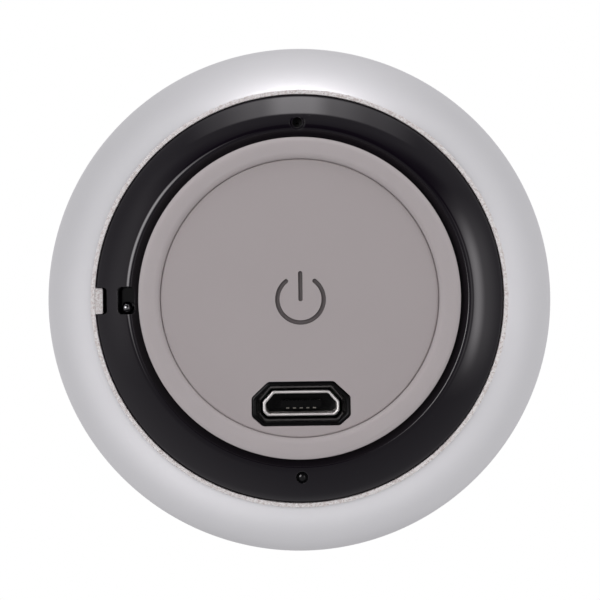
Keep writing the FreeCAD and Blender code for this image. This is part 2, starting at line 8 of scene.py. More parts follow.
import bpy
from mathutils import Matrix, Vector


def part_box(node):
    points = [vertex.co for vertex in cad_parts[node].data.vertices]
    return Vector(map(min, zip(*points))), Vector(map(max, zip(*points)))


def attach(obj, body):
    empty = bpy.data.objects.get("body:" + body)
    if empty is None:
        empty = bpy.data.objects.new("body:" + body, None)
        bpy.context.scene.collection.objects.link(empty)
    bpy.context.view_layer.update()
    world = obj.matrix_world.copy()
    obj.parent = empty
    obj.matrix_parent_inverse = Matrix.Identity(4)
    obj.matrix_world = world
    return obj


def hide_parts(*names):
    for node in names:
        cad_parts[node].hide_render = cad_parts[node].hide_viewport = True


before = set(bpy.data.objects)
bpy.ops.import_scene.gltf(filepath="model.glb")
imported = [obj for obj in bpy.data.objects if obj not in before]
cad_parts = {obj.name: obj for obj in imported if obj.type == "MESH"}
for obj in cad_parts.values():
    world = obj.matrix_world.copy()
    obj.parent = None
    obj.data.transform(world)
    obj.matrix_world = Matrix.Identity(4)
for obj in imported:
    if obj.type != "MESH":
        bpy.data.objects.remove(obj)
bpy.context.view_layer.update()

# %% Tools and units
import math

import bmesh
import bpy
from mathutils import Matrix, Vector

MM = 0.001
scene = bpy.context.scene
scene.view_settings.view_transform = "Standard"

# %% [markdown]
# ## The camera
# The view is almost straight up at the underside, from about a forearm's length. A long lens at that
# distance gives the slight perspective in which the wide middle of the drum shows past its base. The camera
# stands a little to one side of the axis and is turned back towards it, so the rims of the base sit
# slightly off the drum's outline.

# %% Camera
CAMERA_FROM = Vector((-0.38, 2.05, -180.0)) * MM
CAMERA_AT = Vector((0.06, 0.04, 14.6)) * MM
CAMERA_ROLL = math.radians(-0.8)


def aim(place, target, up):
    """A matrix at place that looks at target along its own -Z, with up as near to its own +Y as it goes."""
    forward = (target - place).normalized()
    right = forward.cross(up).normalized()
    turn = Matrix((right, right.cross(forward), -forward)).transposed()
    return Matrix.Translation(place) @ turn.to_4x4()


camera_data = bpy.data.cameras.new("camera")
camera_data.sensor_width = 36.0
camera_data.lens = 112.1
camera_data.clip_start = 0.01
camera = bpy.data.objects.new("camera", camera_data)
camera.matrix_world = aim(CAMERA_FROM, CAMERA_AT, Vector((0, -1, 0))) @ Matrix.Rotation(CAMERA_ROLL, 4, "Z")
scene.collection.objects.link(camera)
scene.camera = camera
print("camera at", [round(v / MM, 1) for v in camera.location], "mm")

# %% [markdown]
# ## One way to write shader maths
# A material is a graph of nodes. Written out link by link it is long and hard to check, so a small class
# wraps a node's output and overloads the arithmetic signs. `1 - mask * 0.5` then adds the Math nodes by
# itself. One method adds any other node: its type, its settings, and the values or links of its sockets.


# %% Shader helper
class Socket:
    """A node's output. Arithmetic on it adds Math nodes to the same tree."""

    def __init__(self, paint, socket):
        self.paint, self.socket = paint, socket

    def maths(self, operation, *values):
        return self.paint.node("ShaderNodeMath", {"operation": operation}, *values)

    def through(self, operation):
        """One-value maths, such as a sine."""
        return self.maths(operation, self)

    def __add__(self, other):
        return self.maths("ADD", self, other)

    def __radd__(self, other):
        return self.maths("ADD", other, self)

    def __sub__(self, other):
        return self.maths("SUBTRACT", self, other)

    def __rsub__(self, other):
        return self.maths("SUBTRACT", other, self)

    def __mul__(self, other):
        return self.maths("MULTIPLY", self, other)

    def __rmul__(self, other):
        return self.maths("MULTIPLY", other, self)

    def __truediv__(self, other):
        return self.maths("DIVIDE", self, other)

    def __gt__(self, other):
        return self.maths("GREATER_THAN", self, other)

    def __lt__(self, other):
        return self.maths("LESS_THAN", self, other)


class Paint:
    """A node tree that is filled by node(). The other methods are patterns that many finishes share."""

    def __init__(self, owner):
        owner.use_nodes = True
        self.tree = owner.node_tree
        self.tree.nodes.clear()

    def node(self, kind, settings=None, *values, out=0, **named):
        """Adds a node. Settings come first, then sockets by place or by name, and one output comes back."""
        made = self.tree.nodes.new(kind)
        for key, value in (settings or {}).items():
            if key == "stops":
                ramp = made.color_ramp.elements
                while len(ramp) < len(value):
                    ramp.new(0.5)
                for stop, (place, colour) in zip(ramp, value):
                    stop.position, stop.color = place, (*colour, 1)
            else:
                setattr(made, key, value)
        sockets = list(enumerate(values)) + [(name.replace("_", " "), value) for name, value in named.items()]
        for key, value in sockets:
            if value is None:
                continue
            target = made.inputs[key]
            if isinstance(value, Socket):
                self.tree.links.new(value.socket, target)
            elif isinstance(value, tuple) and len(value) == 3 and target.type == "RGBA":
                target.default_value = (*value, 1)
            else:
                target.default_value = value
        return Socket(self, made.outputs[out]) if made.outputs else made

    def place(self):
        """Where a point lies in the object's own frame, in millimetres."""
        metres = self.node("ShaderNodeTexCoord", out="Object")
        return self.node("ShaderNodeVectorMath", {"operation": "SCALE"}, metres, Scale=1 / MM)

    def part(self, vector, axis):
        return self.node("ShaderNodeSeparateXYZ", None, vector, out=axis)

    def radius(self, place):
        """Distance from the drum's axis."""
        flat = self.node("ShaderNodeVectorMath", {"operation": "MULTIPLY"}, place, (1, 1, 0))
        return self.node("ShaderNodeVectorMath", {"operation": "LENGTH"}, flat, out="Value")

    def noise(self, place, size, detail=2.0, rough=0.5):
        """Cloudy values from 0 to 1, about one blob to each size in millimetres."""
        settings = {"Vector": place, "Scale": 1 / size, "Detail": detail, "Roughness": rough}
        return self.node("ShaderNodeTexNoise", None, **settings)

    def mix(self, factor, first, second):
        """A colour between two colours."""
        return self.node("ShaderNodeMix", {"data_type": "RGBA"}, factor, *[None] * 5, first, second, out=2)

    def ease(self, value, low, high):
        """0 below low, 1 above high, and smooth between them."""
        smooth = {"interpolation_type": "SMOOTHSTEP"}
        return self.node("ShaderNodeMapRange", smooth, value, low, high, 0.0, 1.0)

    def relief(self, height, depth, edge=0.0):
        """A normal from a height of 0 to 1 and its depth in millimetres. Corners are eased by edge."""
        eased = self.node("ShaderNodeBevel", {"samples": 4}, edge * MM) if edge else None
        settings = {"Strength": 1.0, "Distance": depth * MM, "Height": height, "Normal": eased}
        return self.node("ShaderNodeBump", None, **settings)

    def surface(self, **sockets):
        shader = self.node("ShaderNodeBsdfPrincipled", None, **sockets)
        self.node("ShaderNodeOutputMaterial", None, shader)

# %% [markdown]
# ## Light
# The base ring is a mirror-smooth black, so it shows the room and not its own colour: a plain grey room
# makes it charcoal, and one softbox behind the object paints the broad reflection across it. The drum is
# satin metal and blurs the same room into a soft gradient. Area lights could make the softboxes, but a
# mirror shows their hard edges. So the whole room is the world: a grey gradient from the floor to the
# ceiling, with feathered rectangles of light painted on it. Only the rays that come straight from the
# camera see a clean white backdrop instead.

# %% The room's gradient and its softboxes
# Heights run from 0, straight down, to 1, straight up. A step is a height and its brightness.
ROOM_STEPS = [
    (0.0, 0.23), (0.20, 0.27), (0.42, 0.37), (0.465, 0.93),
    (0.50, 0.93), (0.55, 0.74), (0.75, 0.58), (1.0, 0.60),
]
ROOM_TINT = (1.005, 0.99, 1.02)
LAMP_TINT = (1.02, 0.982, 1.01)

# Lamps are a little warmer than the walls. For each, azimuth is from +X towards +Y and polar from straight
# down. Then come width, height, brightness, and the feather across and along. The flags are black: they
# take light away.
SOFTBOXES = {
    "left": (204, 27, 22, 24, 6.7, 0.5, 0.8),
    "left_skirt": (196, 56, 50, 22, 0.3, 0.6, 0.9),
    "left_wide": (146, 78, 80, 60, 0.13, 0.9, 0.9),
    "right_low": (-2, 26, 22, 16, 0.8, 0.5, 0.8),
    "right": (-2, 57, 32, 8, 2.3, 0.6, 1.0),
    "right_skirt": (-2, 58, 42, 26, 0.85, 0.6, 0.95),
    "behind_wide": (-88, 73, 56, 18, 0.65, 0.35, 0.1),
    "behind": (-90, 73, 32, 18, 0.95, 0.45, 0.1),
    "behind_core": (-90, 73, 14, 18, 1.8, 0.5, 0.1),
    "behind_high": (-90, 112, 44, 56, 0.12, 0.7, 0.5),
    "front": (90, 86, 110, 16, 0.25, 0.5, 0.5),
}
FLAGS = {
    "front": (90, 156, 34, 34, -0.14, 0.5, 0.5),
    "behind": (-90, 30, 90, 46, -0.22, 0.3, 0.3),
}


def softbox(paint, direction, azimuth, polar, width, height, level, feather_x, feather_y):
    """A feathered rectangle on the room, its sizes as angles in degrees."""
    turn, tip = math.radians(azimuth), math.radians(polar)
    toward = Vector((math.cos(turn) * math.sin(tip), math.sin(turn) * math.sin(tip), -math.cos(tip)))
    across = Vector((-math.sin(turn), math.cos(turn), 0))
    depth, x, y = (
        paint.node("ShaderNodeVectorMath", {"operation": "DOT_PRODUCT"}, direction, tuple(axis), out="Value")
        for axis in (toward, across, toward.cross(across))
    )
    light = (depth > 0.0) * level
    for offset, size, feather in ((x, width, feather_x), (y, height, feather_y)):
        half = math.tan(math.radians(size / 2))
        away = (offset / depth).through("ABSOLUTE")
        light = light * (1 - paint.ease(away, half * (1 - feather), half * (1 + feather)))
    return light


world = bpy.data.worlds.new("room")
scene.world = world
room = Paint(world)
direction = room.node("ShaderNodeTexCoord", out="Generated")
height = room.part(direction, "Z") * 0.5 + 0.5
greys = [(step, (level, level, level)) for step, level in ROOM_STEPS]
light = room.node("ShaderNodeValToRGB", {"stops": greys}, height) + 0.0
for settings in FLAGS.values():
    light = light + softbox(room, direction, *settings)
lamps = sum(softbox(room, direction, *settings) for settings in SOFTBOXES.values())
painted, lit = (
    room.node("ShaderNodeVectorMath", {"operation": "SCALE"}, tint, Scale=level)
    for tint, level in ((ROOM_TINT, light), (LAMP_TINT, lamps))
)
both = room.node("ShaderNodeVectorMath", {"operation": "ADD"}, painted, lit)
walls = room.node("ShaderNodeBackground", None, both, 1.0)
backdrop = room.node("ShaderNodeBackground", None, (1, 1, 1), 1.0)
seen = room.node("ShaderNodeLightPath", out="Is Camera Ray")
room.node("ShaderNodeOutputWorld", None, room.node("ShaderNodeMixShader", None, seen, walls, backdrop))
print("softboxes:", list(SOFTBOXES), "flags:", list(FLAGS))

# %% [markdown]
# ## The floor
# The speaker stands on a pale table, which the camera looks up through. The floor is therefore one-sided:
# from above it is a plain matte surface, and from below it is clear. It takes no part in reflections, so
# the base mirrors the softboxes and not the table that it stands on.


# %% Floor
def make_floor():
    bm = bmesh.new()
    bmesh.ops.create_circle(bm, cap_ends=True, segments=64, radius=1.2)
    mesh = bpy.data.meshes.new("floor")
    bm.to_mesh(mesh)
    bm.free()
    floor = bpy.data.objects.new("floor", mesh)
    scene.collection.objects.link(floor)
    material = bpy.data.materials.new("floor")
    paint = Paint(material)
    top = paint.node("ShaderNodeBsdfDiffuse", None, (0.80, 0.80, 0.80))
    clear = paint.node("ShaderNodeBsdfTransparent")
    below = paint.node("ShaderNodeNewGeometry", out="Backfacing")
    paint.node("ShaderNodeOutputMaterial", None, paint.node("ShaderNodeMixShader", None, below, top, clear))
    mesh.materials.append(material)
    floor.visible_glossy = floor.visible_diffuse = floor.visible_transmission = floor.visible_shadow = False
    return floor


floor = make_floor()

# %% [markdown]
# ## Finishes
# Each finish is named after the slot that it fills. All of them read the object's own coordinates in
# millimetres, so a grain of 0.1 is a tenth of a millimetre on every piece. Most of the pieces inside are
# moulded, cast or plated, with an even texture: cloudy colour, a fine grain in the relief, and a roughness
# that follows the grain. One function makes those, and only its numbers differ.

# %% One function for even textures
finishes = {}


def new_finish(slot):
    finishes[slot] = bpy.data.materials.new(slot)
    return Paint(finishes[slot])


def shades(colour, spread):
    """Two versions of a colour, a little darker and a little lighter."""
    return tuple(c * (1 - spread) for c in colour), tuple(min(1.0, c * (1 + spread)) for c in colour)


def even(slot, colour, rough, grain, depth, spread=0.08, edge=0.04, **fixed):
    """Grain and depth are in millimetres. Edge is how far a corner is eased. Fixed sockets hold one value."""
    paint = new_finish(slot)
    place = paint.place()
    cloud = paint.noise(place, 15 * grain, 3.0)
    fine = paint.noise(place, grain, 3.0, 0.6)
    paint.surface(
        Base_Color=paint.mix(cloud, *shades(colour, spread)),
        Roughness=rough + (fine - 0.5) * 0.2 + (cloud - 0.5) * 0.1,
        Normal=paint.relief(fine, depth, edge),
        **fixed,
    )


even("white_plastic", (0.68, 0.68, 0.65), 0.42, 0.15, 0.003)
even("black_plastic", (0.0025, 0.0024, 0.0026), 0.20, 0.10, 0.0005, edge=0.05, Specular_IOR_Level=0.16)
even("black_rubber", (0.020, 0.020, 0.021), 0.72, 0.12, 0.008)
even("chip_black", (0.022, 0.022, 0.024), 0.50, 0.05, 0.004)
even("ferrite", (0.085, 0.085, 0.09), 0.62, 0.08, 0.008)
even("ceramic_white", (0.80, 0.80, 0.77), 0.33, 0.20, 0.001)
even("ceramic_tan", (0.42, 0.29, 0.17), 0.38, 0.10, 0.003, 0.15)
even("stem_plastic", (0.55, 0.53, 0.48), 0.45, 0.10, 0.003)
even("smoked_clear", (0.006, 0.006, 0.007), 0.10, 0.30, 0.001)
even("cone_paper", (0.040, 0.040, 0.042), 0.85, 0.09, 0.02, 0.25)
even("basket_black", (0.018, 0.018, 0.019), 0.40, 0.12, 0.004)
even("black_steel", (0.30, 0.30, 0.31), 0.14, 0.20, 0.001, Metallic=1.0)
even("wire_insulation", (0.45, 0.012, 0.012), 0.34, 0.30, 0.002)
even("gold_contacts", (0.26, 0.25, 0.22), 0.5, 0.06, 0.003, 0.2, Metallic=1.0)
even("magnet_nickel", (0.62, 0.60, 0.57), 0.22, 0.15, 0.002, Metallic=1.0)
print("even finishes:", len(finishes))

# %% [markdown]
# ## Aluminium
# The drum is cast, bead-blasted and anodised, which leaves a satin skin of tiny pits. Two places were cut
# after the blasting: the mouth round the base, which is left raw and ragged, and the bevel at the top,
# which is turned bright. They could be separate materials on their own faces, but the cut edges are exact
# heights and radii, so masks on the distance from the axis and on the height put all three finishes in one
# material.

# %% Drum aluminium
RAW_R = 20.46          # inside this the mouth is raw metal
BEVEL_Z = 24.22        # above this the top bevel is turned bright
MOUTH_Z = (6.0, 6.2)   # the mouth lies below these heights
LATHE_LINES = 60.0     # radians of the turning marks to a millimetre


def drum_aluminium():
    paint = new_finish("satin_aluminium")
    place = paint.place()
    radius, height = paint.radius(place), paint.part(place, "Z")
    low = 1 - paint.ease(height, *MOUTH_Z)
    torn = paint.noise(place, 0.22, 3.0, 0.7)
    ragged = radius + (torn - 0.5) * 0.3
    raw = (1 - paint.ease(ragged, RAW_R - 0.04, RAW_R + 0.02)) * low
    bright = paint.ease(height, BEVEL_Z - 0.02, BEVEL_Z + 0.02)
    pits = paint.noise(place, 0.09, 2.0, 0.7)
    cloud = paint.noise(place, 4.0, 2.0)
    rings = ((radius * LATHE_LINES).through("SINE") + 1.0) * 0.5
    skin = paint.mix(cloud, (0.800, 0.802, 0.812), (0.830, 0.832, 0.840))
    cut = paint.mix(paint.ease(torn, 0.32, 0.60), (0.70, 0.64, 0.61), (1.0, 0.99, 0.97))
    metal = paint.mix(raw, paint.mix(bright, skin, (0.90, 0.90, 0.91)), cut)
    satin = 0.37 + (pits - 0.5) * 0.16
    rough = satin * (1 - raw) * (1 - bright) + raw * (0.58 + torn * 0.22) + bright * 0.16
    relief = pits * (1 - raw) * (1 - bright) * 0.1 + raw * torn + bright * rings * 0.06
    normal = paint.relief(relief, 0.05)
    paint.surface(Base_Color=metal, Roughness=rough, Metallic=1 - raw * 0.9, Normal=normal)


def grille_aluminium():
    """The same metal, punched and then anodised, so the rims of its holes are bright."""
    paint = new_finish("grille_aluminium")
    place = paint.place()
    pits = paint.noise(place, 0.08, 2.0, 0.7)
    cloud = paint.noise(place, 5.0, 2.0)
    skin = paint.mix(cloud, (0.70, 0.70, 0.71), (0.76, 0.76, 0.77))
    normal = paint.relief(pits, 0.006, 0.05)
    paint.surface(Base_Color=skin, Roughness=0.34 + (pits - 0.5) * 0.16, Metallic=1.0, Normal=normal)


drum_aluminium()
grille_aluminium()

# %% [markdown]
# ## Gloss black and grey silicone
# The base ring is moulded in a polished tool, so it is nearly a mirror. What tells it from glass is the
# slow waviness of a moulding and a few hairline scratches. The silicone is the opposite: matte, with a fine
# even tooth that spreads every highlight. Its power sign is engraved into the key, and its floor is
# painted dark, as painted shade in the groove, much darker than the key round it.


# %% Ring black
def gloss_black():
    paint = new_finish("gloss_black")
    place = paint.place()
    wave = paint.noise(place, 7.0, 1.0)
    dust = paint.ease(paint.noise(place, 0.30, 2.0), 0.70, 0.80)
    turned, squeezed = (0, 0, 0.6), (0.15, 2.4, 1.0)
    stretch = paint.node("ShaderNodeMapping", {"vector_type": "POINT"}, place, None, turned, squeezed)
    scratch = paint.ease(paint.noise(stretch, 0.8, 4.0, 0.7), 0.64, 0.70)
    paint.surface(
        Base_Color=paint.mix(dust, (0.0052, 0.0034, 0.0066), (0.012, 0.012, 0.012)),
        Roughness=0.045 + scratch * 0.05 + dust * 0.12,
        Normal=paint.relief(wave + scratch * 0.01, 0.012, 0.09),
    )


# %% Silicone
SIGN_REACH = 3.1       # the power sign lies within this radius
KEY_FACE_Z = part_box("power_button")[0].z / MM
FOOT_INNER_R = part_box("power_button")[1].x / MM + 0.01


def grey_silicone():
    paint = new_finish("grey_silicone")
    place = paint.place()
    radius, height = paint.radius(place), paint.part(place, "Z")
    # The floor of the power sign, where painted shade darkens the groove below.
    groove_shade = paint.ease(height, KEY_FACE_Z + 0.02, KEY_FACE_Z + 0.10) * (radius < SIGN_REACH)
    tooth = paint.noise(place, 0.11, 3.0, 0.6)
    cloud = paint.noise(place, 6.0, 2.0)
    key = paint.mix(cloud, (0.470, 0.434, 0.430), (0.486, 0.449, 0.445))
    foot = paint.mix(cloud, (0.510, 0.475, 0.472), (0.528, 0.492, 0.488))
    skin = paint.mix(radius > FOOT_INNER_R, key, foot)
    paint.surface(
        # Painted shade: the floor of the power sign is painted dark.
        Base_Color=paint.mix(groove_shade, skin, (0.140, 0.126, 0.125)),
        Roughness=0.60 + (tooth - 0.5) * 0.2,
        Specular_IOR_Level=0.35,
        Normal=paint.relief(tooth, 0.006),
    )


gloss_black()
grey_silicone()

# %% [markdown]
# ## Drawn, rolled and wound metal
# The port's shell is folded from nickel-plated strip, so fine lines run along its depth. Screws and cans
# are turned or drawn, with rings round them. The coil is a stack of copper turns. All of these are one
# direction of fine lines, so a noise that is squeezed along one axis makes them.


# %% Lined metals
def lined(slot, colour, rough, squeeze, depth, edge=0.04):
    """Metal with fine lines. Squeeze says how many times finer the pattern is along each axis."""
    paint = new_finish(slot)
    place = paint.place()
    squeezed = paint.node("ShaderNodeVectorMath", {"operation": "MULTIPLY"}, place, squeeze)
    lines = paint.noise(squeezed, 1.0, 3.0)
    stain = paint.noise(place, 1.5, 2.0)
    paint.surface(
        Base_Color=paint.mix(stain, *shades(colour, 0.06)),
        Roughness=rough + (lines - 0.5) * 0.2,
        Metallic=1.0,
        Normal=paint.relief(lines, depth, edge),
    )


lined("port_steel", (0.95, 0.93, 0.90), 0.52, (8, 8, 0.5), 0.002, 0.05)
lined("screw_steel", (0.60, 0.60, 0.61), 0.33, (2, 2, 16), 0.003)
lined("can_steel", (0.66, 0.65, 0.62), 0.30, (1, 12, 12), 0.002)
lined("coil_copper", (0.66, 0.27, 0.13), 0.30, (0.3, 0.3, 9), 0.03)


# %% Battery foil
def battery_foil():
    """A laminate pouch, crumpled a little where it was folded."""
    paint = new_finish("battery_foil")
    place = paint.place()
    crease = paint.node("ShaderNodeTexVoronoi", {"feature": "SMOOTH_F1"}, Vector=place, Scale=0.3)
    fine = paint.noise(place, 0.6, 4.0)
    paint.surface(
        Base_Color=paint.mix(fine, (0.60, 0.61, 0.63), (0.70, 0.71, 0.73)),
        Roughness=0.30 + fine * 0.15,
        Metallic=0.9,
        Normal=paint.relief(crease + fine * 0.3, 0.06, 0.08),
    )


battery_foil()

# %% [markdown]
# ## Cloth, tape and circuit board
# A plain weave is two sets of threads that take turns on top. A sine across each set gives the rounded
# threads, and the product of the two sines says which set is on top. The board is green lacquer over
# copper: tracks show through it as a lighter, raised pattern, here the edges of a grid whose cells are
# stretched and shifted.


# %% Weaves
def weave(slot, colour, thread, depth, rough=0.85):
    paint = new_finish(slot)
    place = paint.place()
    along, over = (paint.part(place, axis) * (math.pi / thread) for axis in ("X", "Y"))
    warp, weft = along.through("SINE"), over.through("SINE")
    on_top = warp * weft > 0.0
    height = warp.through("ABSOLUTE") * on_top + weft.through("ABSOLUTE") * (1 - on_top)
    fuzz = paint.noise(place, thread / 4, 3.0)
    paint.surface(
        # The threads are painted darker where they round down at their edges and dip under each other:
        # painted shade between the threads, taken from the relief's height.
        Base_Color=paint.mix(height * 0.7 + fuzz * 0.3, tuple(c * 0.35 for c in colour), colour),
        Roughness=rough + fuzz * 0.1,
        Sheen_Weight=0.2,
        Normal=paint.relief(height + fuzz * 0.3, depth),
    )


weave("grille_cloth", (0.030, 0.030, 0.032), 0.22, 0.05)
weave("spider_cloth", (0.48, 0.31, 0.11), 0.30, 0.04)
weave("tape", (0.74, 0.74, 0.70), 0.18, 0.02)


# %% Board
def board_green():
    paint = new_finish("board_green")
    place = paint.place()
    settings = {"offset": 0.37, "squash": 1.6, "squash_frequency": 3}
    sizes = {"Scale": 1.0, "Mortar_Size": 0.06, "Mortar_Smooth": 0.2, "Brick_Width": 2.6, "Row_Height": 0.9}
    mortar = paint.node("ShaderNodeTexBrick", settings, Vector=place, **sizes, out="Fac")
    fibre = paint.noise(place, 0.15, 3.0)
    paint.surface(
        Base_Color=paint.mix(mortar, (0.006, 0.085, 0.028), (0.020, 0.19, 0.060)),
        Roughness=0.28 + fibre * 0.1,
        Coat_Weight=0.3,
        Normal=paint.relief(mortar + fibre * 0.1, 0.02, 0.03),
    )


board_green()
print("finishes:", len(finishes))

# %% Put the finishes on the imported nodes
for name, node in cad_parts.items():
    slot = node.data.materials[0].name
    node.data.materials[0] = finishes[slot]
print("nodes finished:", len(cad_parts))

# %% [markdown]
# ## Turned pieces
# The drum, the foot, the key and the strap peg are all bodies of revolution. A primitive cylinder can't
# carry their profiles. Instead a profile is drawn as a closed outline in the XZ plane: straight runs
# between corners, and arcs that are spun from the last corner. Corners are then rounded by a vertex bevel,
# and the outline is spun about Z. The mesh is worked in millimetres and scaled at the end.


# %% Profiles
def outline(bm, start, *moves):
    """An outline in the XZ plane. A move is a corner (r, z) or an arc (centre r, z, degrees, steps)."""
    tip = bm.verts.new((start[0], 0, start[1]))
    ring = [tip]
    for move in moves:
        if len(move) == 2:
            tip = bm.verts.new((move[0], 0, move[1]))
            ring.append(tip)
            continue
        centre_r, centre_z, degrees, steps = move
        centre, angle = (centre_r, 0, centre_z), math.radians(degrees)
        spun = bmesh.ops.spin(bm, geom=[tip], cent=centre, axis=(0, -1, 0), angle=angle, steps=steps)
        tip = next(v for v in spun["geom_last"] if isinstance(v, bmesh.types.BMVert))
        ring += chain(ring[-1], tip)
    return ring


def chain(first, last):
    """The vertices after first, along the edges that a spin has made, up to last."""
    found, here, came = [], last, None
    while here is not first:
        found.append(here)
        edge = next(e for e in here.link_edges if e is not came)
        here, came = edge.other_vert(here), edge
    return found[::-1]


def near(bm, r, z):
    """The vertex of a profile that lies nearest to a point."""
    return min(bm.verts, key=lambda v: (v.co.x - r) ** 2 + (v.co.z - z) ** 2)


def round_corners(bm, radius, *corners, segments=4):
    verts = [near(bm, *corner) for corner in corners]
    bmesh.ops.bevel(bm, geom=verts, offset=radius, offset_type="OFFSET", segments=segments, profile=0.5,
                    affect="VERTICES", material=-1)


def turn_about_axis(bm, steps):
    """Spins the outline's edges into a skin, and takes the flat face away."""
    bmesh.ops.delete(bm, geom=bm.faces[:], context="FACES_ONLY")
    on_axis = [e for e in bm.edges if all(abs(v.co.x) < 1e-6 for v in e.verts)]
    bmesh.ops.delete(bm, geom=on_axis, context="EDGES")
    whole = bm.verts[:] + bm.edges[:]
    full = {"cent": (0, 0, 0), "axis": (0, 0, 1), "angle": math.tau, "use_merge": True}
    bmesh.ops.spin(bm, geom=whole, steps=steps, **full)
    bmesh.ops.remove_doubles(bm, verts=bm.verts, dist=1e-4)
    bmesh.ops.recalc_face_normals(bm, faces=bm.faces)


# %% Finishing a piece
SHARP = math.radians(32)


def shade(bm):
    """Smooth faces, with a sharp edge wherever two faces meet at more than a slight angle."""
    for face in bm.faces:
        face.smooth = True
    for edge in bm.edges:
        edge.smooth = not edge.is_manifold or edge.calc_face_angle(0.0) < SHARP


def to_piece(bm, name, body, slot, *nodes):
    """Makes an object of a mesh in millimetres. It rides on a body and hides the nodes that it stands for."""
    shade(bm)
    bmesh.ops.scale(bm, vec=(MM, MM, MM), verts=bm.verts)
    mesh = bpy.data.meshes.new(name)
    bm.to_mesh(mesh)
    bm.free()
    mesh.materials.append(finishes[slot])
    piece = bpy.data.objects.new(name, mesh)
    scene.collection.objects.link(piece)
    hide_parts(*nodes)
    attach(piece, body)
    print(f"{name}: {len(mesh.polygons)} faces, size", [round(v / MM, 2) for v in piece.dimensions], "mm")
    return piece


def extent(node):
    """A node's lowest and highest corner, in millimetres."""
    low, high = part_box(node)
    return low / MM, high / MM


def span(node):
    """A node's width and depth, in millimetres."""
    low, high = extent(node)
    return high.x - low.x, high.y - low.y


# %% Adding to a mesh and cutting into it
def add_rod(bm, radius, z_low, z_high, x=0.0, y=0.0):
    middle = Matrix.Translation((x, y, (z_low + z_high) / 2))
    size = {"radius1": radius, "radius2": radius, "depth": z_high - z_low}
    bmesh.ops.create_cone(bm, cap_ends=True, segments=64, **size, matrix=middle)


def add_block(bm, x, y, z, corner=0.0):
    """A box between the pairs x, y and z. Corner rounds its upright edges."""
    low, high = (Vector(ends) for ends in zip(x, y, z))
    cube = Matrix.Translation((low + high) / 2) @ Matrix.Diagonal((*(high - low), 1))
    made = bmesh.ops.create_cube(bm, size=1.0, matrix=cube)["verts"]
    if corner:
        edges = {e for v in made for e in v.link_edges}
        uprights = [e for e in edges if abs(e.verts[0].co.z - e.verts[1].co.z) > 1e-6]
        bmesh.ops.bevel(bm, geom=uprights, offset=corner, offset_type="OFFSET", segments=6, profile=0.5,
                        affect="EDGES", material=-1)


def short_lived(name, bm):
    mesh = bpy.data.meshes.new(name)
    bm.to_mesh(mesh)
    bm.free()
    thing = bpy.data.objects.new(name, mesh)
    scene.collection.objects.link(thing)
    return thing


def combine(bm, *steps):
    """Unites the mesh with others or cuts them out, in turn. A step is a Boolean operation and a mesh."""
    blank = short_lived("blank", bm)
    tools = []
    for operation, tool in steps:
        bmesh.ops.recalc_face_normals(tool, faces=tool.faces)
        tools.append(short_lived("tool", tool))
        change = blank.modifiers.new("change", "BOOLEAN")
        change.operation, change.solver, change.object = operation, "EXACT", tools[-1]
    bpy.context.view_layer.update()
    result = bmesh.new()
    result.from_object(blank, bpy.context.evaluated_depsgraph_get())
    for leftover in tools + [blank]:
        bpy.data.objects.remove(leftover)
    return result


# %% [markdown]
# ## The drum
# One aluminium shell makes the side, the mouth round the base and the seat of the grille. Its side is a
# single arc between the mouth and the top bevel. Inside the mouth a thin lip turns in, which the base is
# clamped to, and it shows through the notch beside the strap bar. The two cut edges are the only crisp
# ones, so they get the smallest rounding, and the seat inside gets a little more.

# %% Drum
SIDE_R = 15.0              # radius of the side, seen in section
SIDE_START = -51.0         # where the side starts at the mouth, in degrees from its widest point
SIDE_END = 40.0            # where it ends at the top bevel
WALL = 0.9
LIP_R = 19.5
LIP_Z = (3.85, 4.75)
MOUTH_R = 20.05
BEVEL_INNER_R = 21.85
SEAT_R = (21.5, 20.6)
SEAT_Z = (24.0, 23.2)
STRAP_TAB = ((-20.2, -19.3), (-1.25, 1.25), (3.05, 4.0))   # metal in the notch beside the strap bar


def drum():
    low, high = extent("body_shell")
    centre_r = high.x - SIDE_R
    centre_z = low.z - SIDE_R * math.sin(math.radians(SIDE_START))
    inner_r = SIDE_R - WALL
    inner_start = math.degrees(math.asin((SEAT_Z[1] - centre_z) / inner_r))
    inner_end = math.degrees(math.asin((LIP_Z[1] - centre_z) / inner_r))
    mouth = (centre_r + SIDE_R * math.cos(math.radians(SIDE_START)), low.z)
    mouth_inside = (MOUTH_R, low.z + 0.02)
    inner_top = (centre_r + inner_r * math.cos(math.radians(inner_start)), SEAT_Z[1])
    bm = bmesh.new()
    ring = outline(
        bm,
        mouth,
        (centre_r, centre_z, SIDE_END - SIDE_START, 64),
        (BEVEL_INNER_R, high.z),
        (SEAT_R[0], high.z),
        (SEAT_R[0], SEAT_Z[0]),
        (SEAT_R[1], SEAT_Z[0]),
        (SEAT_R[1], SEAT_Z[1]),
        inner_top,
        (centre_r, centre_z, inner_end - inner_start, 32),
        (LIP_R, LIP_Z[1]),
        (LIP_R, LIP_Z[0]),
        (MOUTH_R, LIP_Z[0]),
        mouth_inside,
    )
    bm.faces.new(ring)
    crisp = (mouth, (BEVEL_INNER_R, high.z), (SEAT_R[0], high.z), mouth_inside)
    round_corners(bm, 0.05, *crisp, segments=3)
    round_corners(bm, 0.12, (LIP_R, LIP_Z[0]), (LIP_R, LIP_Z[1]), segments=2)
    turn_about_axis(bm, 256)
    tab = bmesh.new()
    add_block(tab, *STRAP_TAB, corner=0.15)
    return to_piece(combine(bm, ("UNION", tab)), "drum", "body", "satin_aluminium", "body_shell")


drum()

# %% [markdown]
# ## The foot
# The foot is moulded silicone: a flat-topped ring whose corners are generous, because rubber can't hold a
# crisp one. The inner corner falls towards the key and leaves the shallow valley that runs round it.

# %% Foot
KEY_SLIT = 0.02            # running gap between the key and the foot
FOOT_STEP_R = 14.1
FOOT_STEP_Z = 1.0


